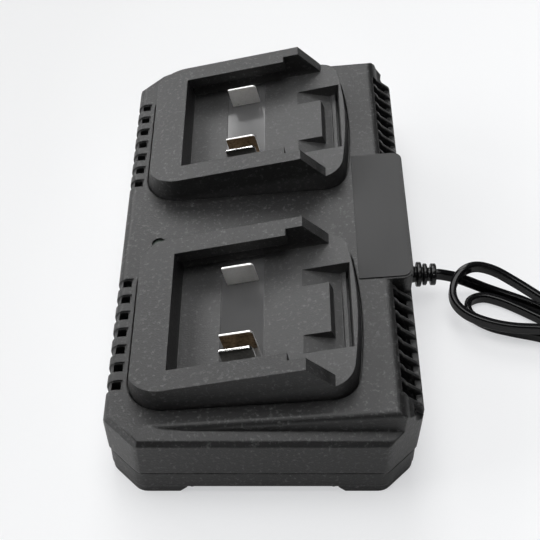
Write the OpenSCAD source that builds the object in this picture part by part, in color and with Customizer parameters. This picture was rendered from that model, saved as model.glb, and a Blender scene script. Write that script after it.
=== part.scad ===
// Two-bay charger for slide-on power tool battery packs, with its mains lead.
// Millimetres. +Z is up, +X is the side the lead leaves from, Y runs along the bays.
// The origin is on the standing surface, in the middle of the housing.

/* [Housing] */
// length of the housing at the parting line
housing_length = 201.2; // [198:0.2:205]
// width of the housing at the parting line
housing_width = 108.6; // [107.6:0.2:110]
// height of the parting line over the standing surface
parting_height = 12; // [11.4:0.1:12.6]
// height of the upright end faces
end_face_height = 27.4; // [26.8:0.1:28]
// height and depth of the bevel between an end face and its ledge
ledge_bevel = 2; // [1.5:0.1:2.4]
// depth of the ledge at each end, measured at the parting line
ledge_depth = 5.1; // [4.6:0.1:5.6]
// slope of the ledge, which falls towards the end face
ledge_angle = 14; // [10:0.5:16]
// height of the sloping deck over the middle of the housing
deck_height = 34.8; // [34.4:0.1:35.4]
// slope of the deck, which rises towards the lead
deck_angle = 6; // [5.6:0.1:6.4]
// draft of the upper side walls
side_draft = 4; // [3:0.1:4.5]
// length cut off each corner in plan
corner_chamfer = 11; // [9.5:0.1:12]
// radius that softens the ends of each corner chamfer
corner_radius = 6; // [4:0.1:8]
// radius of the deck's low edge
edge_radius = 4; // [3:0.1:4.5]
// radius of the deck's two end edges
end_edge_radius = 2.4; // [1.5:0.1:3]
// thickness of the moulded walls
wall = 2.5; // [2.2:0.1:2.8]
// height of the moulded feet under the floor
foot_height = 3.6; // [3:0.1:4]
// length of each foot along the end of the housing
foot_length = 25; // [20:0.5:30]

/* [Vents] */
// distance from one low side vent to the next
vent_pitch = 8; // [7.4:0.1:8.4]
// width of a low side vent
vent_width = 4.2; // [3.6:0.1:4.6]
// number of low side vents beside each bay
vent_count = 7; // [5:1:8]
// distance from one high side fin to the next
fin_pitch = 6.1; // [5.6:0.1:6.2]
// width of the slot between two fins
fin_slot = 4.8; // [4:0.1:4.9]
// number of slots in each high side group
fin_count = 9; // [7:1:9]

/* [Battery bays] */
// width of a bay block, measured along the housing
bay_width = 71.6; // [70.4:0.1:72.4]
// gap between the two guide lips
lip_gap = 54.5; // [54:0.1:55.5]
// width between the walls under the lips
rail_width = 61.3; // [60.8:0.1:62]
// thickness of a guide lip
lip_thickness = 4.5; // [4:0.1:5]
// depth of the bay floor under the rim, square to the floor
bay_depth = 11.4; // [10.8:0.1:11.8]
// height of the rim plane over the middle of the housing
rim_height = 49.9; // [49.2:0.1:50.6]
// slope of the rim and of the bay floor
bay_angle = 13.5; // [13:0.1:14]
// gap round a bay block where it comes through the deck
joint_gap = 0.5; // [0.3:0.05:0.7]

/* [Terminals] */
// thickness of a terminal blade
blade_thickness = 1; // [0.8:0.05:1.2]
// length of a terminal blade along the slide direction
blade_length = 12; // [11:0.1:13]
// height of a terminal blade over the bay floor
blade_height = 8.8; // [8:0.1:9.5]

/* [Lead] */
// width of the flat twin lead
lead_width = 4.6; // [4.2:0.1:4.8]
// thickness of the flat twin lead
lead_thickness = 2.8; // [2.6:0.1:2.9]
// diameter of the widest rib of the strain relief
relief_diameter = 10; // [9:0.1:11]

/* [Hidden] */
half_width = housing_width / 2;
half_length = housing_length / 2;
// the bays keep their clearance from the ends, and give way a little towards the middle
bay_pitch = round(8 * housing_length - 579.6) / 10;
deck_rise = tan(deck_angle);
bay_rise = tan(bay_angle);
draft_rise = tan(side_draft);
ledge_height = end_face_height + ledge_bevel;
deck_half = half_length - ledge_depth;
diagonal = half_width + half_length - corner_chamfer;
floor_level = rim_height - bay_depth / cos(bay_angle);
// widest reach of the upper side walls, where the deck's edges begin
shell_half = half_width + 1.3;
end_half = half_length + 0.4;
// where the deck starts to roll over into the finned shoulder
roll_x = half_width - 9.2;
// inner ends of the low vents and of the slots between the fins
vent_end = 5.1 - half_width;
fin_end = half_width - 6.9;
// places across a bay, read along X, as shares of the half width in steps of 0.1
function share(part) = round(10 * part * half_width) / 10;
block_low = share(-0.8711);
rim_low = share(-0.8471);
well_low = share(-0.6096);
lip_end = share(0.1492);
wall_end = share(0.2634);
slant_end = share(0.4512);
well_high = share(0.4972);
bow_peak = share(0.6151);
bow_radius = 190;
// lean of the block's bowed high end, and the radius of its two corners
block_lean = 12.4;
block_corner = 9.5;
// latch pocket behind the bay floor: a ramp down to a step, then a slot
pocket_low = wall_end - 0.3;
pocket_step = share(0.5267);
pocket_high = share(0.5801);
pocket_half = 19.6;
pocket_bottom = 39.3;
slot_bottom = 36.8;
pad_high = share(0.4401);
pad_half = 11.5;
// terminal insert, read along the bay floor
insert_low = share(-0.3425);
insert_high = share(-0.0424);
insert_half = 29;
floor_skin = 2.6;
flange_reach = 2;
flange_thickness = 2;
blade_low = insert_low + 2.1;
blade_spots = [18.5, -13.2, -20.1];
// label platform
platform_low = half_width - 11.3;
platform_near = -34.6;
platform_far = 34;
platform_radius = 4;
label_low = bow_peak + 2;
label_thickness = 0.4;
// indicator
lamp_x = 13.3 - half_width;
lamp_y = 8.1 - (bay_pitch - bay_width) / 2;
lamp_radius = 2.6;
// screws
post_radius = 3.5;
post_x = half_width - 12.3;
post_y = half_length - 7.6;
posts = [[-post_x, -post_y], [post_x, -post_y], [-post_x, post_y], [post_x, post_y],
    [7.3 - half_width, round(10 * lamp_y + 76) / 10], [post_x, 12]];
screw_y = bay_width / 2 + 1.8;
screw_low = share(-0.5525);
screw_high = share(0.3683);
bay_screw_spots = [[screw_low, -screw_y], [screw_high, -screw_y],
    [screw_low, screw_y], [screw_high, screw_y]];
// circuit board and its posts
board_level = 9;
board_low = 8.3 - half_width;
board_high = half_width - 16.3;
board_half = half_length - 20.6;
board_posts = [[-36, -60], [30, -60], [-36, 60], [30, 60]];
// lead entry and clamp
entry_y = -7.3;
entry_z = parting_height;
clamp_x = half_width - 11.3;
clamp_spots = [-6, 6];
relief_end = half_width + 14.5;
// size of the blocks that are only used to cut
cut_size = housing_length;

function deck_z(x) = deck_height + deck_rise * x;
function rim_z(x) = rim_height + bay_rise * x;
function floor_z(x) = floor_level + bay_rise * x;
function side_x(z) = half_width + (z - parting_height) * draft_rise;
function arc(c, r, a0, a1, n) =
    [for (i = [0:n]) let (a = a0 + (a1 - a0) * i / n) c + r * [cos(a), sin(a)]];
function mirror_points(p, sx, sy) = [for (q = p) [q.x * sx, q.y * sy]];
function turned(p) = [for (i = [len(p) - 1:-1:0]) p[i]];

// plan outline: a rectangle with chamfered corners, softened at both ends of each chamfer
function plan_corner(hx, hy, d, r) = concat(
    arc([hx - r, d - hx - r * (sqrt(2) - 1)], r, 0, 45, 4),
    arc([d - hy - r * (sqrt(2) - 1), hy - r], r, 45, 90, 4));
function plan_points(hx, hy, d, r) = let (q = plan_corner(hx, hy, d, r)) concat(
    q, turned(mirror_points(q, -1, 1)), mirror_points(q, -1, -1), turned(mirror_points(q, 1, -1)));

// extrudes an outline drawn in X and Z along Y, centred
module along_y(length) {
    translate([0, length / 2, 0])
        rotate([90, 0, 0])
            linear_extrude(length)
                children();
}

// extrudes an outline drawn in Y and Z along X, centred
module along_x(length) {
    translate([-length / 2, 0, 0])
        rotate([90, 0, 90])
            linear_extrude(length)
                children();
}

// places children on the sloping deck plane, Z square to it
module on_deck() {
    translate([0, 0, deck_height])
        rotate([0, -deck_angle, 0])
            children();
}

module slab(x0, x1, y0, y1, z0, z1) {
    translate([x0, y0, z0])
        cube([x1 - x0, y1 - y0, z1 - z0]);
}

module rod(x, y, z0, z1, r, sides = 40) {
    translate([x, y, z0])
        cylinder(h = z1 - z0, r = r, $fn = sides);
}

// low edge of the deck, rounded, and set back by a distance
function low_edge(back) =
    let (z = deck_z(edge_radius - side_x(26)) - edge_radius / cos(deck_angle))
    arc([edge_radius - side_x(z), z], edge_radius - back, 180 + side_draft, 90 + deck_angle, 8);

// outer cross-section of the upper shell: sloping deck, low edge, rolled high edge, finned shoulder
function upper_section() =
    let (roll_c = [roll_x, deck_z(roll_x) - 4.5 / cos(deck_angle)])
    let (out_c = [side_x(30) - 3, 30])
    concat(
        [[-half_width, parting_height]],
        low_edge(0),
        arc(roll_c, 4.5, 90 + deck_angle, 32, 6),
        [[roll_x + 4.5, roll_c.y + 1.1]],
        arc(out_c, 3, 52, -side_draft, 6),
        [[half_width, parting_height]]);

// the same section, one wall thickness in
function inner_section() = [
    [wall - half_width, parting_height - 1],
    [wall - side_x(24), 24],
    [wall - side_x(24) + 2.5, deck_z(4.3 - half_width) - wall],
    [roll_x, deck_z(roll_x) - wall],
    [roll_x + 2.1, 35.4],
    [side_x(30) - wall - 0.6, 30.6],
    [side_x(28) - wall, 28],
    [half_width - wall, parting_height - 1]];

// end view of the part below the deck: drafted end face, bevel, and a ledge that falls outwards
function end_section() =
    let (rise = tan(ledge_angle) * (end_half - ledge_bevel - deck_half + 4))
    [[-half_length, parting_height], [-end_half, end_face_height],
    [ledge_bevel - end_half, ledge_height], [4 - deck_half, ledge_height + rise],
    [deck_half - 4, ledge_height + rise], [end_half - ledge_bevel, ledge_height],
    [end_half, end_face_height], [half_length, parting_height]];

// end view of the deck, square to its slope, with rounded end edges
function deck_section() =
    let (r = end_edge_radius)
    let (edge = arc([r - deck_half, -r], r, 182, 100, 8))
    let (side = concat([[-deck_half - 0.6, -18]], edge, [edge[8] + [6, 6 * tan(10)]]))
    concat(side, turned(mirror_points(side, -1, 1)));

// bevel along the top of one corner chamfer
module corner_bevel(sx, sy, z) {
    reach = diagonal / sqrt(2);
    rotate([0, 0, atan2(sy, sx)])
        along_y(90)
            polygon([[reach - 1.6, z + 1.8], [reach + 6, z - 6.8], [reach + 6, z + 30], [reach - 1.6, z + 30]]);
}

// vents over the low edge of the deck: a shallow recess with a hole in it
module low_vents() {
    for (side = [-1, 1])
        for (i = [0:vent_count - 1])
            translate([0, side * bay_pitch / 2 + (i - (vent_count - 1) / 2) * vent_pitch, 0]) {
                along_y(vent_width)
                    difference() {
                        translate([-shell_half - 8, 20])
                            square([vent_end + shell_half + 8, 20]);
                        polygon(concat([[0.7 - half_width, parting_height]], low_edge(0.7),
                            [[0, deck_z(0) - 0.7 / cos(deck_angle)], [0, parting_height]]));
                    }
                slab(vent_end - 4, vent_end - 0.6, 0.3 - vent_width / 2, vent_width / 2 - 0.3, 22, 40);
            }
}

// slots between the fins of the high shoulder, closed on the outside by a low rim
module high_vents() {
    for (side = [-1, 1])
        for (i = [0:fin_count - 1])
            translate([0, side * (bay_pitch / 2 + 7.1) + (i - (fin_count - 1) / 2) * fin_pitch, 0])
                along_y(fin_slot)
                    polygon([[fin_end, 30], [fin_end + 2.4, 24], [half_width - 1.4, 24],
                        [half_width - 1.2, 30.6], [half_width + 8, 31.4], [half_width + 8, 45], [fin_end, 45]]);
}

// hollow scoop at each end of a finned shoulder
module shoulder_scoops() {
    for (side = [-1, 1])
        translate([half_width + 3.9, side * (half_length - 11.1), 34.5])
            rotate([90, 0, 0])
                cylinder(h = 5.4, r = 7, center = true, $fn = 48);
}

module label_platform() {
    intersection() {
        along_y(cut_size)
            polygon([[platform_low, 22], [half_width + 2.2, 22], [half_width + 2.2, deck_z(half_width + 2.2)],
                [platform_low, deck_z(platform_low)]]);
        linear_extrude(60) {
            translate([platform_low, platform_near])
                square([shell_half - platform_low - platform_radius, platform_far - platform_near]);
            translate([platform_low, platform_near + platform_radius])
                square([shell_half - platform_low, platform_far - platform_near - 2 * platform_radius]);
            for (y = [platform_near + platform_radius, platform_far - platform_radius])
                translate([shell_half - platform_radius, y])
                    circle(platform_radius, $fn = 48);
        }
    }
}

module outer_shell() {
    intersection() {
        along_y(cut_size)
            polygon(upper_section());
        union() {
            along_x(cut_size)
                polygon(end_section());
            on_deck()
                along_x(cut_size)
                    polygon(deck_section());
        }
        translate([0, 0, parting_height])
            linear_extrude(60)
                polygon(plan_points(shell_half, end_half, diagonal, corner_radius));
    }
}

module upper_housing() {
    color([0.16, 0.16, 0.17])
        difference() {
            union() {
                difference() {
                    outer_shell();
                    high_vents();
                }
                label_platform();
            }
            for (side = [-1, 1]) {
                corner_bevel(-1, side, end_face_height);
                corner_bevel(1, side, deck_z(half_width - 8.3) - 2);
            }
            // hollow inside
            difference() {
                intersection() {
                    along_y(cut_size)
                        polygon(inner_section());
                    linear_extrude(60)
                        polygon(plan_points(shell_half - wall, half_length - wall,
                            diagonal - wall * sqrt(2), corner_radius - wall));
                    union() {
                        slab(-cut_size, cut_size, wall - deck_half, deck_half - wall, 0, 60);
                        slab(-cut_size, cut_size, -cut_size, cut_size, 0, ledge_height - wall);
                    }
                }
                for (p = posts)
                    rod(p.x, p.y, parting_height, 60, post_radius);
            }
            platform_hollow();
            for (side = [-1, 1])
                translate([0, side * bay_pitch / 2, 0])
                    linear_extrude(60)
                        bay_plan(joint_gap);
            low_vents();
            shoulder_scoops();
            for (p = posts)
                rod(p.x, p.y, 0, 22, 1.25, 24);
            // half of the lead entry
            translate([half_width - 9.3, entry_y, entry_z])
                rotate([0, 90, 0])
                    cylinder(h = 20, r = 4, $fn = 48);
            // indicator window
            on_deck()
                rod(lamp_x, lamp_y, -8, 8, lamp_radius, 48);
            // blind holes for the bay screws
            for (side = [-1, 1])
                for (p = bay_screw_spots)
                    rod(p.x, side * bay_pitch / 2 + p.y, 15, deck_z(p.x) - 1, 1.2, 24);
        }
}

module platform_hollow() {
    intersection() {
        slab(half_width - 6.7, shell_half - wall, platform_near + wall, platform_far - wall, 24, 60);
        along_y(cut_size)
            polygon([[40, 20], [60, 20], [60, deck_z(60) - wall], [40, deck_z(40) - wall]]);
    }
}

module lower_housing() {
    color([0.14, 0.14, 0.15])
        difference() {
            union() {
                translate([0, 0, foot_height])
                    linear_extrude(parting_height - foot_height)
                        polygon(plan_points(half_width - 0.1, half_length - 0.1, diagonal, corner_radius));
                // corner feet with sloping inner ends
                intersection() {
                    linear_extrude(parting_height)
                        polygon(plan_points(half_width - 0.4, half_length - 0.4, diagonal - 0.5, corner_radius));
                    for (sx = [-1, 1])
                        for (sy = [-1, 1])
                            scale([sx, sy, 1])
                                foot_block();
                }
                // small pegs beside the feet
                for (sx = [-1, 1])
                    for (sy = [-1, 1])
                        rod(sx * (half_width - foot_length - 4.2), sy * (half_length - 2.6), 1.2,
                            foot_height + 1, 1.2, 24);
            }
            difference() {
                translate([0, 0, foot_height + 2.4])
                    linear_extrude(30)
                        polygon(plan_points(half_width - wall, half_length - wall,
                            diagonal - wall * sqrt(2), corner_radius - wall));
                for (p = posts)
                    rod(p.x, p.y, 0, parting_height, post_radius);
                for (p = board_posts)
                    rod(p.x, p.y, 0, board_level, 3);
                for (t = clamp_spots)
                    rod(clamp_x, entry_y + t, 0, entry_z + 1.4, 2.4);
            }
            // shadow line at the joint of the two shells
            difference() {
                slab(-cut_size, cut_size, -cut_size, cut_size, parting_height - 0.5, parting_height + 1);
                translate([0, 0, parting_height - 1])
                    linear_extrude(3)
                        polygon(plan_points(half_width - 0.8, half_length - 0.8, diagonal - 1, corner_radius - 0.5));
            }
            for (p = posts) {
                rod(p.x, p.y, -1, 5, 3, 32);
                rod(p.x, p.y, 0, 20, 1.25, 24);
            }
            for (p = board_posts)
                rod(p.x, p.y, foot_height + 1, 20, 1, 20);
            for (t = clamp_spots)
                rod(clamp_x, entry_y + t, 7.5, 20, 1.1, 24);
            // floor vents under the two bays
            for (side = [-1, 1])
                for (i = [-3:3])
                    translate([0, side * bay_pitch / 2 + i * 7, 0])
                        slab(-30, 14, -1.5, 1.5, 0, 9);
            translate([half_width - 9.3, entry_y, entry_z])
                rotate([0, 90, 0])
                    cylinder(h = 20, r = 4, $fn = 48);
        }
}

module foot_block() {
    rotate([90, 0, 0])
        mirror([0, 0, 1])
            translate([0, 0, half_length - 30])
                linear_extrude(40)
                    polygon([[half_width - foot_length, 0], [shell_half, 0], [shell_half, 6],
                        [half_width - foot_length - 2.6, 6], [half_width - foot_length - 2.6, 2.6]]);
}

// plan of a bay block: large corners at the low end, bowed high end
module bay_plan(grow) {
    y = bay_width / 2 + grow;
    low = block_low - grow;
    low_r = 13.5 + grow;
    for (s = [-1, 1])
        translate([low + low_r, s * (y - low_r)])
            circle(low_r, $fn = 96);
    translate([low, low_r - y])
        square([low_r + 1, 2 * (y - low_r)]);
    translate([low + low_r, 0])
        polygon(bowed_end(y, bow_peak + 1.7 + grow - low - low_r, block_corner + grow));
}

// outline that starts at X = 0 and ends in a shallow bow with rounded corners, its peak at a given X
function bowed_end(y, peak, r) =
    let (c = peak - bow_radius)
    let (turn = asin((y - r) / (bow_radius - r)))
    let (corner = [c + (bow_radius - r) * cos(turn), y - r])
    let (half = concat(arc([c, 0], bow_radius, 0, turn, 8), slice(arc(corner, r, turn, 90, 8), 1), [[0, y]]))
    concat(half, turned(mirror_points(slice(half, 1), 1, -1)));
function slice(p, first) = [for (i = [first:len(p) - 1]) p[i]];

// places children on the sloping rim plane of a bay, X along the slide, Z square to the floor
module on_rim() {
    translate([0, 0, rim_height])
        rotate([0, -bay_angle, 0])
            children();
}

module bay_body() {
    skin_drop = floor_skin / cos(bay_angle);
    difference() {
        union() {
            intersection() {
                translate([0, 0, 20])
                    linear_extrude(40)
                        bay_plan(0);
                along_y(cut_size)
                    polygon([[block_low - 1, 20], [block_low - 0.2, 28], [rim_low, rim_z(rim_low)],
                        [wall_end, rim_z(wall_end)], [slant_end, floor_z(slant_end)], [40, floor_z(40)], [40, 20]]);
                // leaning bowed end
                translate([bow_peak, 0, floor_z(bow_peak)])
                    rotate([0, -block_lean, 0])
                        translate([-100, 0, -30])
                            linear_extrude(60)
                                polygon(bowed_end(bay_width / 2 + 0.05, 100, block_corner));
                along_y(cut_size)
                    polygon([[-60, deck_z(-60) - wall - flange_thickness],
                        [60, deck_z(60) - wall - flange_thickness], [60, 80], [-60, 80]]);
            }
            // flange under the deck
            intersection() {
                translate([0, 0, 15])
                    linear_extrude(40) {
                        bay_plan(flange_reach);
                        for (p = bay_screw_spots)
                            translate(p)
                                circle(3.4, $fn = 40);
                    }
                along_y(cut_size)
                    polygon([[-60, deck_z(-60) - wall - flange_thickness],
                        [60, deck_z(60) - wall - flange_thickness],
                        [60, deck_z(60) - wall], [-60, deck_z(-60) - wall]]);
            }
        }
        // the open well, its undercut guide rails, and the notch at the end of the lips
        on_rim() {
            slab(well_low / cos(bay_angle), well_high, -lip_gap / 2, lip_gap / 2, -bay_depth, 30);
            slab(well_low / cos(bay_angle), well_high, -rail_width / 2, rail_width / 2, -bay_depth, -lip_thickness);
            slab(lip_end / cos(bay_angle), well_high, -rail_width / 2, rail_width / 2, -bay_depth, 30);
            // seat for the terminal insert
            slab(insert_low, insert_high, -insert_half, insert_half, -bay_depth - 5, -bay_depth + 1);
        }
        // latch pocket with its ramped arms, round a level pad
        difference() {
            along_y(2 * pocket_half)
                polygon([[pocket_low, floor_z(pocket_low)], [pocket_step, pocket_bottom],
                    [pocket_step + 0.3, pocket_bottom + 0.6], [pocket_high - 1.1, pocket_bottom + 1],
                    [pocket_high - 1.1, slot_bottom], [pocket_high, slot_bottom],
                    [pocket_high, 60], [pocket_low, 60]]);
            along_y(2 * pad_half)
                polygon([[pocket_low - 1, 36], [pad_high + 1.6, 36], [pad_high + 1.6, pocket_bottom + 1],
                    [pad_high, floor_z(pad_high)], [pad_high, 60], [pocket_low - 1, 60]]);
        }
        // hollow underneath
        difference() {
            union() {
                intersection() {
                    translate([0, 0, 15])
                        linear_extrude(40)
                            bay_plan(-floor_skin);
                    along_y(2 * (rail_width / 2 + 1.5))
                        polygon([[-60, 10], [60, 10], [60, floor_z(60) - skin_drop],
                            [-60, floor_z(-60) - skin_drop]]);
                }
                slab(rim_low + 1.6, well_low - 2.6, -22, 22, 15, rim_z(rim_low) - 3.4);
            }
            slab(pocket_low - 3.5, 60, -pocket_half - 2.4, pocket_half + 2.4, slot_bottom - 2.2, 60);
        }
        for (p = bay_screw_spots)
            rod(p.x, p.y, 10, 50, 1.2, 24);
    }
}

module bay_at(side) {
    translate([0, side * bay_pitch / 2, 0])
        children();
}

module front_bay() {
    color([0.2, 0.2, 0.21])
        bay_at(-1)
            bay_body();
}

module rear_bay() {
    color([0.2, 0.2, 0.21])
        bay_at(1)
            bay_body();
}

module insert_body() {
    on_rim()
        difference() {
            union() {
                slab(insert_low, insert_high, -insert_half, insert_half, -bay_depth - floor_skin, -bay_depth - 0.15);
                slab(insert_low - 1.5, insert_high + 1.5, -insert_half - 1.2, insert_half + 1.2,
                    -bay_depth - floor_skin - 1.6, -bay_depth - floor_skin);
            }
            for (b = blade_spots)
                slab(blade_low, blade_low + blade_length, b - blade_thickness / 2, b + blade_thickness / 2,
                    -bay_depth - 10, 0);
        }
}

module front_terminal_insert() {
    color([0.24, 0.24, 0.26])
        bay_at(-1)
            insert_body();
}

module rear_terminal_insert() {
    color([0.24, 0.24, 0.26])
        bay_at(1)
            insert_body();
}

// upright blade with a cut-off leading corner and a narrower solder tail
module blade(side, index) {
    color([0.86, 0.84, 0.78])
        bay_at(side)
            on_rim()
                translate([0, blade_spots[index] + blade_thickness / 2, 0])
                    rotate([90, 0, 0])
                        linear_extrude(blade_thickness)
                            polygon([[blade_low, -bay_depth - 4.2], [blade_low, blade_height - bay_depth],
                                [blade_low + blade_length - 1.6, blade_height - bay_depth],
                                [blade_low + blade_length, blade_height - bay_depth - 1.6],
                                [blade_low + blade_length, -bay_depth - 4.2],
                                [blade_low + blade_length - 3.5, -bay_depth - 4.2],
                                [blade_low + blade_length - 3.5, -bay_depth - 8],
                                [blade_low + 3.5, -bay_depth - 8], [blade_low + 3.5, -bay_depth - 4.2]]);
}

module front_positive_blade() {
    blade(-1, 0);
}

module front_sensor_blade() {
    blade(-1, 1);
}

module front_negative_blade() {
    blade(-1, 2);
}

module rear_positive_blade() {
    blade(1, 0);
}

module rear_sensor_blade() {
    blade(1, 1);
}

module rear_negative_blade() {
    blade(1, 2);
}

module label_plate() {
    r = 3.2;
    near = platform_near + 0.8;
    far = platform_far - 0.8;
    high = shell_half - 0.9;
    color([0.3, 0.3, 0.31])
        intersection() {
            along_y(cut_size)
                polygon([[30, deck_z(30)], [60, deck_z(60)], [60, deck_z(60) + label_thickness],
                    [30, deck_z(30) + label_thickness]]);
            translate([0, 0, 20])
                linear_extrude(40) {
                    translate([label_low, near])
                        square([high - label_low - r, far - near]);
                    translate([label_low, near + r])
                        square([high - label_low, far - near - 2 * r]);
                    for (y = [near + r, far - r])
                        translate([high - r, y])
                            circle(r, $fn = 48);
                }
        }
}

module indicator_lens() {
    drop = wall * cos(deck_angle);
    color([0.55, 0.6, 0.55])
        on_deck()
            difference() {
                union() {
                    rod(lamp_x, lamp_y, -drop - 0.1, -0.9, lamp_radius, 48);
                    rod(lamp_x, lamp_y, -drop - 1.5, -drop, lamp_radius + 1.4, 48);
                }
                rod(lamp_x, lamp_y, -drop - 3, -drop - 0.2, 1.7, 32);
            }
}

module indicator_lamp() {
    color([0.4, 0.7, 0.4]) {
        rod(lamp_x + 0.3, lamp_y, board_level + 1.6, deck_z(lamp_x) - wall - 0.7, 1.45, 32);
        rod(lamp_x + 0.3, lamp_y, board_level + 1.6, board_level + 2.6, 1.9, 32);
    }
}

module circuit_board() {
    color([0.12, 0.32, 0.18])
        difference() {
            slab(board_low, board_high, -board_half, board_half, board_level, board_level + 1.6);
            for (p = board_posts)
                rod(p.x, p.y, 0, 20, 1.3, 20);
            rod(posts[4].x, posts[4].y, 0, 20, post_radius + 0.6);
        }
}

module transformer() {
    z = board_level + 1.6;
    color([0.5, 0.4, 0.2]) {
        slab(-14, 16, -8, 8, z, z + 3);
        slab(-10, 12, -11, 11, z + 3, z + 14);
    }
}

module mains_capacitor() {
    color([0.15, 0.2, 0.35])
        translate([board_high - 18, -30, board_level + 7.6])
            rotate([90, 0, 0])
                cylinder(h = 26, r = 6, center = true, $fn = 48);
}

module output_capacitors() {
    z = board_level + 1.6;
    color([0.15, 0.2, 0.35])
        for (y = [-6, 8])
            rod(board_low + 18, y, z, z + 11.5, 4, 40);
}

module mains_choke() {
    z = board_level + 1.6;
    color([0.7, 0.4, 0.2])
        difference() {
            rod(board_high - 12, 22, z, z + 8, 8, 48);
            rod(board_high - 12, 22, z - 1, z + 9, 3.5, 32);
        }
}

module heat_sink() {
    z = board_level + 1.6;
    color([0.7, 0.7, 0.72]) {
        slab(-30, 14, 36, 38, z, z + 9);
        for (i = [0:4])
            slab(-28 + i * 10, -26.6 + i * 10, 38, 46, z, z + 9);
    }
}

module fuse_holder() {
    z = board_level + 1.6;
    color([0.8, 0.78, 0.7])
        translate([8, -24, z + 3])
            rotate([90, 0, 0])
                cylinder(h = 20, r = 3, center = true, $fn = 36);
}

module screw(x, y, z, tip, r) {
    rod(x, y, z, z + 2, 2 * r, 32);
    rod(x, y, z, tip, r, 24);
}

module housing_screws() {
    color([0.6, 0.6, 0.62])
        for (p = posts)
            screw(p.x, p.y, 3, 20, 1.25);
}

module board_screws() {
    color([0.6, 0.6, 0.62])
        for (p = board_posts) {
            rod(p.x, p.y, board_level + 1.6, board_level + 3.4, 2.4, 32);
            rod(p.x, p.y, foot_height + 1.4, board_level + 1.6, 1, 20);
        }
}

module bay_screws() {
    color([0.6, 0.6, 0.62])
        for (side = [-1, 1])
            for (p = bay_screw_spots)
                translate([p.x, side * bay_pitch / 2 + p.y, deck_z(p.x) - wall - flange_thickness]) {
                    translate([0, 0, -2.2])
                        cylinder(h = 2.2, r = 2.2, $fn = 32);
                    translate([0, 0, -1])
                        cylinder(h = 4.4, r = 1.2, $fn = 24);
                }
}

module lead_clamp() {
    color([0.2, 0.2, 0.21])
        difference() {
            slab(clamp_x - 2, clamp_x + 2, entry_y - 8.4, entry_y + 8.4, entry_z + 1.4, entry_z + 3.4);
            for (t = clamp_spots)
                rod(clamp_x, entry_y + t, 0, 30, 1.1, 24);
        }
}

module clamp_screws() {
    color([0.6, 0.6, 0.62])
        for (t = clamp_spots) {
            rod(clamp_x, entry_y + t, entry_z + 3.4, entry_z + 5, 2, 32);
            rod(clamp_x, entry_y + t, 7.5, entry_z + 4, 1.1, 24);
        }
}

// end of the lead inside the housing: flat sheath, then its two cores down to the board
module inner_lead() {
    bend = clamp_x - 9;
    color([0.1, 0.1, 0.1])
        slab(clamp_x - 5, clamp_x + 4, entry_y - 2.3, entry_y + 2.3, entry_z - 1.4, entry_z + 1.4);
    color([0.45, 0.25, 0.15])
        for (t = [-1.1, 1.1]) {
            translate([bend, entry_y + t, entry_z])
                rotate([0, 90, 0])
                    cylinder(h = 4, r = 0.9, $fn = 24);
            translate([bend, entry_y + t, entry_z])
                sphere(r = 0.9, $fn = 24);
            rod(bend, entry_y + t, board_level + 1.6, entry_z, 0.9, 24);
        }
}

// one insulated wire from each blade's tail down to the board
module output_leads() {
    tail = [blade_low + blade_length / 2, -bay_depth - 8];
    foot_x = tail.x * cos(bay_angle) - tail.y * sin(bay_angle);
    foot_z = rim_height + tail.x * sin(bay_angle) + tail.y * cos(bay_angle);
    color([0.6, 0.12, 0.1])
        for (side = [-1, 1])
            for (b = blade_spots)
                translate([0, side * bay_pitch / 2 + b, 0])
                    difference() {
                        rod(foot_x, 0, board_level + 1.6, foot_z + 2, 0.9, 24);
                        on_rim()
                            slab(-60, 60, -5, 5, tail.y, 20);
                    }
}

// ribbed strain relief, turned about the lead
module strain_relief() {
    rib = relief_diameter / 2;
    skin = half_width - wall - 0.4;
    x = half_width;
    color([0.1, 0.1, 0.1])
        translate([0, entry_y, entry_z])
            rotate([0, 90, 0])
                rotate_extrude($fn = 64)
                    polygon([[0, x - 7.3], [5.4, x - 7.3], [5.4, skin], [3.9, skin], [3.9, x + 0.5],
                        [rib + 0.9, x + 0.5], [rib - 1.3, x + 4.1], [3.1, x + 6.7],
                        [rib, x + 6.7], [rib, x + 8.6], [2.9, x + 8.6], [2.9, x + 9.4],
                        [rib - 0.6, x + 9.4], [rib - 0.6, x + 10.9], [2.8, x + 10.9], [2.8, x + 12.4],
                        [rib - 0.6, x + 12.4], [rib - 0.6, relief_end], [0, relief_end]]);
}

// eight-sided section of the flat lead, standing on edge
function lead_ring() =
    let (t = lead_thickness / 2)
    let (w = lead_width / 2)
    let (c = 0.8)
    [[t, w - c], [t - c, w], [c - t, w], [-t, w - c], [-t, c - w], [c - t, -w], [t - c, -w], [t, c - w]];

function unit(v) = v / norm(v);
function spline_point(a, b, c, d, t) =
    0.5 * ((2 * b) + (c - a) * t + (2 * a - 5 * b + 4 * c - d) * t * t + (3 * b - a - 3 * c + d) * t * t * t);
function smooth_route(p, n) = concat(
    [for (i = [0:len(p) - 2]) for (k = [0:n - 1])
        spline_point(p[max(i - 1, 0)], p[i], p[i + 1], p[min(i + 2, len(p) - 1)], k / n)],
    [p[len(p) - 1]]);

// one tube swept along a route, its wide side upright
module swept_lead(route) {
    ring = lead_ring();
    n = len(route);
    m = len(ring);
    rings = [for (i = [0:n - 1])
        let (d = unit(route[min(i + 1, n - 1)] - route[max(i - 1, 0)]))
        let (side = unit([d.y, -d.x, 0]))
        let (up = cross(side, d))
        [for (q = ring) route[i] + side * q.x + up * q.y]];
    points = [for (r = rings) for (q = r) q];
    faces = concat(
        [[for (k = [m - 1:-1:0]) k]],
        [for (i = [0:n - 2]) for (k = [0:m - 1])
            [i * m + k, i * m + (k + 1) % m, (i + 1) * m + (k + 1) % m, (i + 1) * m + k]],
        [[for (k = [0:m - 1]) (n - 1) * m + k]]);
    polyhedron(points = points, faces = faces, convexity = 10);
}

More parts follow.
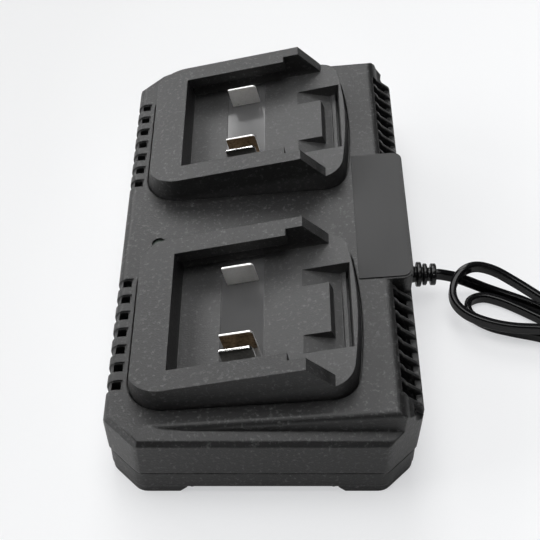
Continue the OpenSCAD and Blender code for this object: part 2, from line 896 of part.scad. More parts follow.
// from the strain relief down to the standing surface, read from the end of the strain relief
lead_route = [[0, 0, entry_z], [2.6, 0, 11.8], [8.2, 0.3, 9.9], [14.2, 0.5, 6.8], [21.2, -0.3, 3.8],
    [28.2, -2.5, 2.6], [35.2, -5.7, 2.4], [39.2, -8.1, 2.4], [42.2, -10, 2.4]];
// the hank: two long turns, the lower one inside the upper one, then two shorter ones on top
hank_route = [[42.2, -10, 2.4], [45.2, -11.9, 2.4], [52.2, -17.9, 2.6], [63.8, -24.2, 2.9],
    [72.8, -28.6, 2.9], [82.2, -32.1, 2.8], [93.9, -35.1, 2.4], [105.7, -37.9, 2.4], [117.3, -41.1, 2.4],
    [130.6, -45.5, 2.4], [136, -50.8, 2.4], [136.2, -58.3, 2.4], [130.9, -63.7, 2.4], [123.4, -63.8, 2.4],
    [114.5, -59.2, 2.4], [103.7, -53.9, 2.4], [93.1, -48, 2.4], [81.5, -41.9, 2.7], [69.6, -36.8, 3],
    [59.4, -32.7, 2.9], [50.2, -28.3, 2.8], [39.2, -24.3, 2.4], [29.2, -21.7, 2.4], [20.6, -18.7, 2.4],
    [13.8, -13.1, 2.4], [13.8, -6.7, 2.4], [19.6, -3.9, 2.4], [26.2, -5.7, 2.4], [33.2, -9.7, 2.4],
    [41.2, -15.3, 2.6], [51.2, -22.3, 2.9], [61.3, -27.9, 2.9], [71.2, -32.7, 2.9], [82.5, -36.8, 3],
    [94.3, -39.7, 4.3], [104.2, -41.7, 6.2], [116, -44.6, 7.4], [125.6, -47.3, 7.5], [129.2, -50.7, 7.5],
    [129.2, -55.6, 7.6], [125.8, -59.1, 7.7], [121, -59.2, 7.7], [112.1, -54.4, 7.7], [101.3, -49.1, 7.8],
    [90.6, -43.5, 8.1], [80.6, -39, 8.3], [70.4, -34.8, 8.3], [60.1, -30.9, 8.3], [50.2, -27.1, 8.2],
    [39.2, -25.1, 7.8], [28.2, -24.1, 7.6], [18.6, -21.7, 7.8], [10.8, -17.7, 8.4], [6.6, -12.5, 9.8],
    [6.4, -6.9, 12.2], [9.8, -1.7, 14.8], [15.8, 1.3, 15], [23.2, 0.3, 13.8], [31.2, -3.9, 11.8],
    [40.2, -10.3, 10], [50.2, -18.6, 8.7], [61.9, -26.1, 8.3], [72, -30.3, 8.3], [82.7, -33.2, 8.2],
    [93.1, -34, 8.4], [103.3, -35.3, 9.8], [111.9, -38.1, 11.6], [121.1, -42.1, 12.8], [129.6, -45.1, 12.8],
    [135, -50.4, 12.8], [135.1, -58, 12.8], [129.8, -63.5, 12.8], [122.3, -63.7, 12.9],
    [112.5, -58.7, 12.9], [101.6, -53.5, 13.2], [90.9, -47.9, 13.4], [80.2, -42.6, 13.6],
    [69.2, -37.8, 13.7], [62, -36.8, 13.6], [53.8, -35.9, 13.7], [48.8, -30.9, 13.6], [48.7, -23.9, 13.6],
    [53.7, -18.8, 13.9], [60.8, -18.6, 13.9], [67.5, -23.6, 13.9], [73.4, -27.9, 13.9], [83.6, -32.2, 13.8],
    [93.8, -36.4, 13.7], [104.1, -40.1, 13.5], [114.5, -43.7, 13.3], [123.9, -46.9, 13.2],
    [127.3, -50.2, 13.2], [127.4, -54.9, 13.2], [124.1, -58.2, 13.1], [119.3, -58.2, 13.1],
    [111.3, -54, 13.1], [101.4, -49.1, 13.3], [90.7, -43.5, 13.5], [80.8, -38.8, 13.6], [70.6, -34.5, 13.7],
    [63.6, -33.4, 13.7], [55.3, -32.6, 13.8], [52.1, -29.5, 13.8], [52, -25.2, 13.8], [55.1, -22.1, 13.9],
    [59.5, -22, 13.8], [66, -27.1, 13.7], [71.9, -31.1, 13.7], [82.1, -35.4, 13.6], [92.2, -39.6, 13.7],
    [101.3, -43.8, 14.5], [109.4, -47.6, 16.1], [117.7, -51.1, 17.9], [126.1, -54.4, 18.5],
    [133.6, -57.1, 18.4], [141.2, -60.3, 17.2], [148.2, -62.9, 14.8], [155.2, -64.9, 12]];
tail_route = [[155.2, -64.9, 12], [161.2, -66.3, 9.8], [168.2, -67.1, 8], [174.2, -67.3, 7],
    [179.2, -67.3, 7]];
hank_points = smooth_route(hank_route, 3);

// least clear space between two strands of the hank, either sideways or in height
function strand_gap(a, b) =
    max(norm([a.x - b.x, a.y - b.y]) - lead_thickness, abs(a.z - b.z) - lead_width);
least_gap = min([for (i = [0:len(hank_points) - 1]) for (j = [i + 8:1:len(hank_points) - 1])
    strand_gap(hank_points[i], hank_points[j])]);
echo(least_hank_gap = least_gap);

// places children at the end of the strain relief, over the standing surface
module at_relief_end() {
    translate([relief_end, entry_y, 0])
        children();
}

module mains_lead() {
    color([0.08, 0.08, 0.08])
        at_relief_end()
            swept_lead(smooth_route(lead_route, 2));
}

module lead_hank() {
    color([0.08, 0.08, 0.08])
        at_relief_end()
            swept_lead(hank_points);
}

module lead_tail() {
    color([0.08, 0.08, 0.08])
        at_relief_end()
            swept_lead(smooth_route(tail_route, 2));
}

// flat band wound round the waist of the hank
module hank_tie() {
    color([0.1, 0.1, 0.1])
        at_relief_end()
            translate([71.2, -32.7, 0])
                rotate([0, 0, -21.5])
                    difference() {
                        slab(-3, 3, -8.2, 8.1, 0.1, 17);
                        slab(-4, 4, -7.7, 7.6, 0.45, 16.6);
                    }
}

module at_plug() {
    at_relief_end()
        translate(tail_route[len(tail_route) - 1])
            children();
}

// flat two-pin plug, lying on its wide side
module plug_body() {
    color([0.1, 0.1, 0.1])
        at_plug()
            intersection() {
                translate([0, 0, -7])
                    linear_extrude(14)
                        polygon([[0, -3.4], [10, -4.2], [14, -9], [22, -14.4], [32, -17.6], [36, -17.6],
                            [36, 17.6], [32, 17.6], [22, 14.4], [14, 9], [10, 4.2], [0, 3.4]]);
                along_y(60)
                    polygon([[0, -3.6], [10, -5.4], [20, -7], [36, -6.8], [36, 6.8], [20, 7], [10, 5.4], [0, 3.6]]);
            }
}

module plug_pins() {
    color([0.8, 0.8, 0.78])
        at_plug()
            for (s = [-1, 1])
                translate([36, s * 9.3, 0])
                    rotate([0, 90, 0]) {
                        cylinder(h = 17, r = 2, $fn = 32);
                        translate([0, 0, 17])
                            sphere(r = 2, $fn = 32);
                    }
}

upper_housing();
lower_housing();
front_bay();
rear_bay();
front_terminal_insert();
rear_terminal_insert();
front_positive_blade();
front_negative_blade();
front_sensor_blade();
rear_positive_blade();
rear_negative_blade();
rear_sensor_blade();
label_plate();
indicator_lens();
indicator_lamp();
circuit_board();
transformer();
mains_capacitor();
output_capacitors();
mains_choke();
heat_sink();
fuse_holder();
output_leads();
board_screws();
housing_screws();
bay_screws();
lead_clamp();
clamp_screws();
inner_lead();
strain_relief();
mains_lead();
lead_hank();
lead_tail();
hank_tie();
plug_body();
plug_pins();
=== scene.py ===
import math

import bmesh
import bpy
from mathutils import Matrix, Vector


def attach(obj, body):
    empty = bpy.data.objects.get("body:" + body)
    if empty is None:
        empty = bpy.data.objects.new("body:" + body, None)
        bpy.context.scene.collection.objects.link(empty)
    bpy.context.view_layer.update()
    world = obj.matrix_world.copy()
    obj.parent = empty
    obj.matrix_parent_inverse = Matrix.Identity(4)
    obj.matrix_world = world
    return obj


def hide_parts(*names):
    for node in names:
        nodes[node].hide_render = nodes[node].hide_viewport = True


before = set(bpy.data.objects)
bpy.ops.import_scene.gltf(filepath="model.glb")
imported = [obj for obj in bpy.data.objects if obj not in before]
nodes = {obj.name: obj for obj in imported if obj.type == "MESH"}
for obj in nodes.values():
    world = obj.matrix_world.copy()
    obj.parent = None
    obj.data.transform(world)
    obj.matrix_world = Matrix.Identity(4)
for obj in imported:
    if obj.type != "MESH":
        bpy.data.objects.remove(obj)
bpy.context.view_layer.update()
scene = bpy.context.scene
scene.view_settings.view_transform = "Standard"

# camera: it looks down on the near end of the charger, in line with its length
cameraValues = {"place": (0.0025, -0.3201, 0.3564), "tilt": 42.46, "lens": 77.3, "sensor": 36.0}
cameraData = bpy.data.cameras.new("camera")
cameraData.lens = cameraValues["lens"]
cameraData.sensor_width = cameraValues["sensor"]
cameraData.clip_start = 0.01
camera = bpy.data.objects.new("camera", cameraData)
camera.location = cameraValues["place"]
camera.rotation_euler = (math.radians(cameraValues["tilt"]), 0, 0)
scene.collection.objects.link(camera)
scene.camera = camera
print("camera set")


roundSamples = 6
edgeGain = 6  # how soon a turning normal counts as an edge
bend = 1.5  # refractive index of ordinary plastic


class Link:
    # a node's output, with the operators that make Math nodes
    def __init__(self, finish, socket):
        self.finish = finish
        self.socket = socket

    def maths(self, operation, *values):
        return self.finish.add("ShaderNodeMath", {"operation": operation}, dict(enumerate(values)))

    def __add__(self, other):
        return self.maths("ADD", self, other)

    def __radd__(self, other):
        return self.maths("ADD", other, self)

    def __sub__(self, other):
        return self.maths("SUBTRACT", self, other)

    def __rsub__(self, other):
        return self.maths("SUBTRACT", other, self)

    def __mul__(self, other):
        return self.maths("MULTIPLY", self, other)

    def __truediv__(self, other):
        return self.maths("DIVIDE", self, other)

    def clamped(self):
        return self.finish.add("ShaderNodeClamp", {}, {"Value": self})


class Finish:
    # one material and the calls that add nodes to it
    def __init__(self, name):
        self.material = bpy.data.materials.new(name)
        self.material.use_nodes = True
        self.nodes = self.material.node_tree.nodes
        self.links = self.material.node_tree.links
        self.nodes.clear()

    def add(self, kind, settings=None, sockets=None, out=0):
        made = self.nodes.new(kind)
        for name, value in (settings or {}).items():
            if name == "stops":
                ramp = made.color_ramp
                while len(ramp.elements) < len(value):
                    ramp.elements.new(1.0)
                for element, (at, shade) in zip(ramp.elements, value):
                    element.position = at
                    element.color = (shade, shade, shade, 1) if isinstance(shade, (int, float)) else (*shade, 1)
            else:
                setattr(made, name, value)
        for name, value in (sockets or {}).items():
            socket = made.inputs[name]
            if isinstance(value, Link):
                self.links.new(value.socket, socket)
            elif hasattr(value, "__len__") and socket.type == "RGBA" and len(value) == 3:
                socket.default_value = (*value, 1)
            else:
                socket.default_value = value
        return Link(self, made.outputs[out])

    def place(self, scale=(1, 1, 1), turn=(0, 0, 0)):
        where = self.add("ShaderNodeTexCoord", out="Object")
        return self.add("ShaderNodeMapping", {}, {"Vector": where, "Rotation": turn, "Scale": scale})

    def noise(self, where, scale, detail=3.0, rough=0.55, distort=0.0):
        return self.add("ShaderNodeTexNoise", {}, {"Vector": where, "Scale": scale, "Detail": detail,
                                                  "Roughness": rough, "Distortion": distort})

    def ramp(self, value, stops):
        return self.add("ShaderNodeValToRGB", {"stops": stops}, {"Fac": value})

    def blend(self, share, low, high):
        # colours, mixed by a share
        return self.add("ShaderNodeMix", {"data_type": "RGBA"}, {0: share, 6: low, 7: high}, out=2)

    def rounded(self, radius):
        # the normal as a small moulded radius would turn it
        return self.add("ShaderNodeBevel", {"samples": roundSamples}, {"Radius": radius})

    def edges(self, rounded):
        # 0 on flat faces, rising to 1 on the rounded edges
        flat = self.add("ShaderNodeNewGeometry", out="Normal")
        same = self.add("ShaderNodeVectorMath", {"operation": "DOT_PRODUCT"}, {0: rounded, 1: flat}, out="Value")
        return ((1 - same) * edgeGain).clamped()

    def bump(self, height, strength, distance, normal=None):
        sockets = {"Height": height, "Strength": strength, "Distance": distance}
        if normal is not None:
            sockets["Normal"] = normal
        return self.add("ShaderNodeBump", {}, sockets)

    def surface(self, **sockets):
        named = {name.replace("_", " "): value for name, value in sockets.items()}
        shader = self.add("ShaderNodeBsdfPrincipled", {}, named, out="BSDF")
        return self.close(shader)

    def close(self, shader):
        end = self.nodes.new("ShaderNodeOutputMaterial")
        self.links.new(shader.socket, end.inputs["Surface"])
        return self.material


mouldValues = {
    "fleckScale": 0.45, "cloudScale": 22.0, "rubScale": 160.0,
    "rubStops": [(0.38, 0.0), (0.66, 1.0)], "fleckStops": [(0.55, 0.0), (0.75, 1.0)],
    "cloudRough": 0.14, "grainRough": 0.1, "wornRough": 0.12, "fleckHeight": 0.6,
}


def mouldedPlastic(name, look):
    # dark injection-moulded plastic: fine spark texture, slow cloudiness, paler rubbed edges, and a floor painted
    # paler as painted light where the look asks for it
    finish, values = Finish(name), mouldValues
    where = finish.place()
    grain = finish.noise(where, look["grain"], 2.0, 0.6)
    fleck = finish.noise(where, look["grain"] * values["fleckScale"], 3.0, 0.7)
    cloud = finish.noise(where, values["cloudScale"], 3.0, 0.6)
    rub = finish.noise(where, values["rubScale"], 4.0, 0.7)
    rounded = finish.rounded(look["radius"])
    edge = finish.edges(rounded)
    worn = (edge * finish.ramp(rub, values["rubStops"])).clamped()
    shade = finish.blend(cloud, look["dark"], look["pale"])
    if look["under"]:
        # painted light: the bay floor is painted paler than the rim, by its depth below the sloping rim plane,
        # standing in for the brighter light that the deep floor catches
        under = look["under"]
        slope = math.radians(under["slope"])
        upright = finish.add("ShaderNodeSeparateXYZ", {}, {"Vector": finish.place(turn=(0, slope, 0))}, out="Z")
        depth = under["rim"] * math.cos(slope) - upright
        paintedLightShare = ((depth - under["from"]) / (under["to"] - under["from"])).clamped()
        shade = finish.blend(paintedLightShare * under["share"], shade, under["floor"])
    shade = finish.blend(finish.ramp(fleck, values["fleckStops"]) * look["fleck"], shade, look["speck"])
    shade = finish.blend(worn * look["wear"], shade, look["edge"])
    rough = (look["rough"] + (cloud - 0.5) * values["cloudRough"] + (grain - 0.5) * values["grainRough"]
             - worn * values["wornRough"]).clamped()
    height = grain + fleck * values["fleckHeight"]
    return finish.surface(Base_Color=shade, Roughness=rough, IOR=bend,
                          Normal=finish.bump(height, look["bump"], look["deep"], rounded))


housingLook = {"grain": 1500.0, "dark": (0.005, 0.005, 0.0053), "pale": (0.009, 0.009, 0.0093),
               "speck": (0.10, 0.10, 0.10), "fleck": 0.85, "edge": (0.12, 0.12, 0.12), "wear": 0.5, "rough": 0.45,
               "radius": 0.0008, "bump": 1.0, "deep": 0.00011, "under": None}
# painted light: the bay plastic's deep floor is painted paler than its rim
bayLook = dict(housingLook, dark=(0.011, 0.011, 0.0113), pale=(0.019, 0.019, 0.0193), rough=0.47, radius=0.0004,
               under={"slope": 13.5, "rim": 0.0499, "from": 0.0085, "to": 0.0105, "share": 0.75,
                      "floor": (0.039, 0.039, 0.0395)})
baseLook = dict(housingLook, rough=0.5)
housingPlastic = mouldedPlastic("housingPlastic", housingLook)
bayPlastic = mouldedPlastic("bayPlastic", bayLook)
basePlastic = mouldedPlastic("basePlastic", baseLook)
print("plastics made")


metalValues = {
    "stainScale": 900.0, "stainStops": [(0.35, 0.0), (0.7, 1.0)], "edgeShare": 0.6, "cutStart": 1.3, "cutFall": 1.6,
    "stainRough": 0.08, "bump": 0.12, "deep": 0.00002,
}


def metal(name, look):
    # sheet metal: fine rolling lines along one way, small stains, bright rubbed edges, and a painted highlight on the
    # sheared edges where the look asks for it
    finish, values = Finish(name), metalValues
    where = finish.place(scale=look["lines"])
    lines = finish.noise(where, 1.0, 3.0, 0.6)
    stain = finish.noise(finish.place(), values["stainScale"], 3.0, 0.6)
    rounded = finish.rounded(look["radius"])
    edge = finish.edges(rounded)
    shade = finish.blend(finish.ramp(stain, values["stainStops"]), look["dark"], look["pale"])
    shade = finish.blend(edge * values["edgeShare"], shade, look["edge"])
    if look.get("cut"):
        # painted highlight: the faces that turn away from Y, the sheared edges, are painted brighter than the rolled
        # faces, for the glint they catch
        flat = finish.add("ShaderNodeNewGeometry", out="Normal")
        sideways = finish.add("ShaderNodeSeparateXYZ", {}, {"Vector": flat}, out="Y")
        cut = (values["cutStart"] - sideways.maths("ABSOLUTE", sideways) * values["cutFall"]).clamped()
        shade = finish.blend(cut, shade, look["edge"])
    rough = (look["rough"] + (lines - 0.5) * look["streak"] + (stain - 0.5) * values["stainRough"]).clamped()
    return finish.surface(Base_Color=shade, Metallic=look.get("metallic", 1.0), Roughness=rough,
                          Normal=finish.bump(lines, values["bump"], values["deep"], rounded))


softValues = {
    "patchScale": 70.0, "dustScale": 1400.0, "dustStops": [(0.62, 0.0), (0.8, 1.0)], "dustShare": 0.25,
    "patchRough": 0.16, "fineRough": 0.12, "patchHeight": 2, "deep": 0.00006,
}


def softPlastic(name, look):
    # cord and plug compound: satin black with a fine grain, dust and rubbed patches
    finish, values = Finish(name), softValues
    where = finish.place()
    fine = finish.noise(where, look["fine"], 3.0, 0.6)
    patch = finish.noise(where, values["patchScale"], 3.0, 0.6)
    dust = finish.noise(where, values["dustScale"], 2.0, 0.7)
    rounded = finish.rounded(look["radius"])
    shade = finish.blend(patch, look["dark"], look["pale"])
    shade = finish.blend(finish.ramp(dust, values["dustStops"]) * values["dustShare"], shade, look["dust"])
    rough = (look["rough"] + (patch - 0.5) * values["patchRough"] + (fine - 0.5) * values["fineRough"]).clamped()
    return finish.surface(Base_Color=shade, Roughness=rough, IOR=look.get("bend", bend),
                          Normal=finish.bump(fine + patch * values["patchHeight"], look["bump"], values["deep"],
                                             rounded))


glossyValues = {
    "scratchScale": (1400, 60, 900), "scratchTurn": (0, 0, 0.5), "speckScale": 2600.0,
    "speckStops": [(0.6, 0.0), (0.78, 1.0)], "scratchRough": 0.06, "scratchHeight": 0.1, "deep": 0.00008,
}


def glossy(name, look):
    # smooth hard plastic or lacquer: faint flow marks and fine scratches
    finish, values = Finish(name), glossyValues
    flow = finish.noise(finish.place(), look["flow"], 2.0, 0.5, 0.6)
    scratch = finish.noise(finish.place(scale=values["scratchScale"], turn=values["scratchTurn"]), 1.0, 2.0, 0.6)
    speck = finish.noise(finish.place(), values["speckScale"], 2.0, 0.7)
    rounded = finish.rounded(look["radius"])
    shade = finish.blend(flow, look["dark"], look["pale"])
    shade = finish.blend(finish.ramp(speck, values["speckStops"]) * look["fleck"], shade, look["speck"])
    rough = (look["rough"] + (flow - 0.5) * look["uneven"] + (scratch - 0.5) * values["scratchRough"]).clamped()
    return finish.surface(Base_Color=shade, Roughness=rough, IOR=look.get("bend", bend),
                          Normal=finish.bump(flow + scratch * values["scratchHeight"], look["bump"],
                                             values["deep"], rounded))


boardValues = {
    "trackScale": 160.0, "gap": 0.06, "trackLong": 0.9, "trackWide": 0.35, "maskScale": 120.0, "maskShare": 0.4,
    "between": (0.006, 0.075, 0.028), "track": (0.02, 0.16, 0.06), "deepMask": (0.004, 0.05, 0.02),
    "rough": 0.3, "maskRough": 0.15, "bump": 0.3, "deep": 0.00005, "radius": 0.0002,
}


def boardLacquer():
    # green solder mask over staggered rows of tracks
    finish, values = Finish("boardLacquer"), boardValues
    where = finish.place()
    tracks = finish.add("ShaderNodeTexBrick", {"offset": 0.37, "squash": 1.0},
                        {"Vector": where, "Scale": values["trackScale"], "Mortar Size": values["gap"],
                         "Brick Width": values["trackLong"], "Row Height": values["trackWide"]}, out="Fac")
    mask = finish.noise(where, values["maskScale"], 3.0, 0.6)
    shade = finish.blend(tracks, values["between"], values["track"])
    shade = finish.blend(mask * values["maskShare"], shade, values["deepMask"])
    rough = (values["rough"] + mask * values["maskRough"]).clamped()
    normal = finish.bump(tracks, values["bump"], values["deep"], finish.rounded(values["radius"]))
    return finish.surface(Base_Color=shade, Roughness=rough, IOR=bend, Normal=normal)


copperValues = {
    "turnScale": 260.0, "stainScale": 300.0, "dark": (0.32, 0.1, 0.03), "pale": (0.55, 0.2, 0.07),
    "rough": 0.25, "turnRough": 0.15, "bump": 0.6, "deep": 0.0002,
}


def woundCopper():
    # enamelled wire, turn beside turn
    finish, values = Finish("woundCopper"), copperValues
    turns = finish.add("ShaderNodeTexWave", {"wave_type": "BANDS", "bands_direction": "Z"},
                       {"Vector": finish.place(), "Scale": values["turnScale"], "Distortion": 0.4, "Detail": 1.0},
                       out="Fac")
    stain = finish.noise(finish.place(), values["stainScale"], 2.0, 0.6)
    shade = finish.blend(stain, values["dark"], values["pale"])
    rough = (values["rough"] + turns * values["turnRough"]).clamped()
    return finish.surface(Base_Color=shade, Metallic=1.0, Roughness=rough,
                          Normal=finish.bump(turns, values["bump"], values["deep"]))


bladeMetal = metal("bladeMetal", {"lines": (120, 120, 5200), "dark": (0.8, 0.79, 0.77), "pale": (0.88, 0.87, 0.85),
                                  "edge": (0.98, 0.98, 0.97), "rough": 0.3, "streak": 0.1, "radius": 0.00018,
                                  "metallic": 0.45, "cut": True})
# painted shade: a darker copy of the blade metal, for the negative blades, whose near faces stand in shade
shadedBladeMetal = metal("shadedBladeMetal", {"lines": (120, 120, 5200), "dark": (0.4, 0.39, 0.36),
                                          "pale": (0.55, 0.54, 0.5), "edge": (0.98, 0.98, 0.97), "rough": 0.22,
                                          "streak": 0.1, "radius": 0.00018, "cut": True})
sensorMetal = metal("sensorMetal", {"lines": (120, 120, 5200), "dark": (0.16, 0.105, 0.06),
                                    "pale": (0.36, 0.25, 0.15), "edge": (0.98, 0.97, 0.95), "rough": 0.3,
                                    "streak": 0.12, "radius": 0.00018, "metallic": 0.6, "cut": True})
screwMetal = metal("screwMetal", {"lines": (900, 900, 900), "dark": (0.32, 0.32, 0.33), "pale": (0.5, 0.5, 0.52),
                                  "edge": (0.75, 0.75, 0.76), "rough": 0.32, "streak": 0.12, "radius": 0.0002})
sinkMetal = metal("sinkMetal", {"lines": (300, 300, 4200), "dark": (0.55, 0.55, 0.57), "pale": (0.74, 0.74, 0.76),
                                "edge": (0.9, 0.9, 0.9), "rough": 0.3, "streak": 0.14, "radius": 0.0002})
pinMetal = metal("pinMetal", {"lines": (200, 4200, 4200), "dark": (0.66, 0.64, 0.58), "pale": (0.82, 0.8, 0.74),
                              "edge": (0.95, 0.94, 0.9), "rough": 0.2, "streak": 0.1, "radius": 0.0003})
leadSheath = softPlastic("leadSheath", {"fine": 1800.0, "dark": (0.005, 0.005, 0.0055), "pale": (0.010, 0.010, 0.011),
                                        "dust": (0.05, 0.05, 0.05), "rough": 0.17, "bump": 0.1, "radius": 0.0002,
                                        "bend": 1.36})
plugCompound = softPlastic("plugCompound", {"fine": 2600.0, "dark": (0.011, 0.011, 0.012),
                                            "pale": (0.02, 0.02, 0.021), "dust": (0.07, 0.07, 0.07), "rough": 0.5,
                                            "bump": 0.45, "radius": 0.0004})
reliefRubber = softPlastic("reliefRubber", {"fine": 2200.0, "dark": (0.006, 0.006, 0.0065),
                                            "pale": (0.012, 0.012, 0.013), "dust": (0.06, 0.06, 0.06), "rough": 0.24,
                                            "bump": 0.15, "radius": 0.0002, "bend": 1.42})
tieBand = softPlastic("tieBand", {"fine": 3200.0, "dark": (0.008, 0.008, 0.009), "pale": (0.016, 0.016, 0.017),
                                  "dust": (0.07, 0.07, 0.07), "rough": 0.6, "bump": 0.8, "radius": 0.0002})
wireSheath = softPlastic("wireSheath", {"fine": 1800.0, "dark": (0.2, 0.012, 0.01), "pale": (0.32, 0.02, 0.016),
                                        "dust": (0.4, 0.1, 0.1), "rough": 0.4, "bump": 0.2, "radius": 0.0002})
insertPlastic = glossy("insertPlastic", {"flow": 55.0, "dark": (0.07, 0.07, 0.071), "pale": (0.088, 0.088, 0.089),
                                         "speck": (0.12, 0.12, 0.12), "fleck": 0.2, "rough": 0.13, "uneven": 0.05,
                                         "bump": 0.2, "radius": 0.0003, "bend": 1.7})
labelFilm = glossy("labelFilm", {"flow": 40.0, "dark": (0.018, 0.018, 0.0185), "pale": (0.023, 0.023, 0.0235),
                                 "speck": (0.05, 0.05, 0.05), "fleck": 0.2, "rough": 0.6, "uneven": 0.1,
                                 "bump": 0.2, "radius": 0.0002})
lensPlastic = glossy("lensPlastic", {"flow": 300.0, "dark": (0.02, 0.028, 0.022), "pale": (0.03, 0.042, 0.034),
                                     "speck": (0.08, 0.09, 0.08), "fleck": 0.2, "rough": 0.3, "uneven": 0.1,
                                     "bump": 0.2, "radius": 0.0002})
sleeveFilm = glossy("sleeveFilm", {"flow": 200.0, "dark": (0.01, 0.014, 0.04), "pale": (0.02, 0.03, 0.08),
                                   "speck": (0.1, 0.1, 0.14), "fleck": 0.2, "rough": 0.28, "uneven": 0.1,
                                   "bump": 0.3, "radius": 0.0004})
tapeFilm = glossy("tapeFilm", {"flow": 160.0, "dark": (0.42, 0.3, 0.04), "pale": (0.6, 0.44, 0.08),
                               "speck": (0.7, 0.6, 0.3), "fleck": 0.3, "rough": 0.35, "uneven": 0.15,
                               "bump": 0.5, "radius": 0.0005})
fuseSleeve = glossy("fuseSleeve", {"flow": 200.0, "dark": (0.42, 0.42, 0.38), "pale": (0.58, 0.58, 0.54),
                                   "speck": (0.7, 0.7, 0.66), "fleck": 0.2, "rough": 0.3, "uneven": 0.1,
                                   "bump": 0.3, "radius": 0.0003})
lacquer = boardLacquer()
copper = woundCopper()
print("finishes made")

dressed = {
    "upper_housing": housingPlastic, "lower_housing": basePlastic, "front_bay": bayPlastic, "rear_bay": bayPlastic,
    "front_terminal_insert": insertPlastic, "rear_terminal_insert": insertPlastic, "label_plate": labelFilm,
    "indicator_lens": lensPlastic, "indicator_lamp": lensPlastic, "circuit_board": lacquer, "transformer": tapeFilm,
    "mains_capacitor": sleeveFilm, "output_capacitors": sleeveFilm, "mains_choke": copper, "heat_sink": sinkMetal,
    "fuse_holder": fuseSleeve, "output_leads": wireSheath, "board_screws": screwMetal,
    "bay_screws": screwMetal, "lead_clamp": basePlastic, "clamp_screws": screwMetal, "inner_lead": leadSheath,
}
for nodeName, finish in dressed.items():
    nodes[nodeName].data.materials.clear()
    nodes[nodeName].data.materials.append(finish)
print("CAD nodes dressed:", len(dressed))


def keep(name, data, finish, replaced=(), sharp=35):
    # a finished mesh becomes a piece on the charger's one body
    piece = bpy.data.objects.new(name, data)
    scene.collection.objects.link(piece)
    data.materials.clear()
    data.materials.append(finish)
    data.shade_smooth()
    data.set_sharp_from_angle(angle=math.radians(sharp))
    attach(piece, "root")
    if replaced:
        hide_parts(*replaced)
    return piece


def finished(name, mesh, finish, replaced=(), sharp=35):
    # millimetres to metres, doubles merged, faces turned outwards
    bmesh.ops.remove_doubles(mesh, verts=mesh.verts, dist=0.001)
    bmesh.ops.recalc_face_normals(mesh, faces=mesh.faces)
    bmesh.ops.scale(mesh, verts=mesh.verts, vec=(0.001, 0.001, 0.001))
    data = bpy.data.meshes.new(name)
    mesh.to_mesh(data)
    mesh.free()
    return keep(name, data, finish, replaced, sharp)


def softened(mesh, width, least=35, segments=3):
    # rounds every edge that turns by more than the given angle
    bmesh.ops.remove_doubles(mesh, verts=mesh.verts, dist=0.001)
    bmesh.ops.recalc_face_normals(mesh, faces=mesh.faces)
    crisp = [edge for edge in mesh.edges if edge.is_manifold and edge.calc_face_angle(0) > math.radians(least)]
    bmesh.ops.bevel(mesh, geom=crisp, offset=width, offset_type="OFFSET", segments=segments, profile=0.5,
                    affect="EDGES", clamp_overlap=True, material=-1)


def turned(mesh, profile, steps):
    # a profile of (along, radius) pairs, turned about the X axis
    line = [mesh.verts.new((along, 0, radius)) for along, radius in profile]
    rim = [mesh.edges.new(pair) for pair in zip(line, line[1:])]
    bmesh.ops.spin(mesh, geom=line + rim, cent=(0, 0, 0), axis=(1, 0, 0), dvec=(0, 0, 0), angle=math.radians(360),
                   steps=steps, use_merge=True)
    return mesh


def plate(mesh, outline, thick, rounds):
    # an upright plate in the XZ plane; rounds gives the corners to round and their radius
    corners = [mesh.verts.new((x, -thick / 2, z)) for x, z in outline]
    face = mesh.faces.new(corners)
    for index, radius in rounds:
        bmesh.ops.bevel(mesh, geom=[corners[index]], offset=radius, offset_type="OFFSET", segments=5, profile=0.5,
                        affect="VERTICES", clamp_overlap=True, material=-1)
    face = list(mesh.faces)[0]
    raised = bmesh.ops.extrude_face_region(mesh, geom=[face])["geom"]
    bmesh.ops.translate(mesh, verts=[v for v in raised if isinstance(v, bmesh.types.BMVert)], vec=(0, thick, 0))
    return mesh


def splinePoint(a, b, c, d, t):
    return 0.5 * (2 * b + (c - a) * t + (2 * a - 5 * b + 4 * c - d) * t * t + (3 * b - a - 3 * c + d) * t * t * t)


def smoothRoute(points, steps):
    # the same curve through the same points as the solids follow
    line = []
    for i in range(len(points) - 1):
        before, after = points[max(i - 1, 0)], points[min(i + 2, len(points) - 1)]
        line += [splinePoint(before, points[i], points[i + 1], after, k / steps) for k in range(steps)]
    return line + [points[-1]]


screwValues = {
    "headRadius": 2.5, "headHeight": 2.0, "headEdge": 0.35, "shankRadius": 1.25, "low": 3.0, "tip": 20.0,
    "pointRadius": 0.3, "pointLong": 2.0, "recessArm": 1.5, "recessHalf": 0.36, "recessDeep": 1.1, "recessTaper": 0.7,
    "places": [(-42, -93), (42, -93), (-42, 93), (42, 93), (-47, 0), (42, 12)],
}


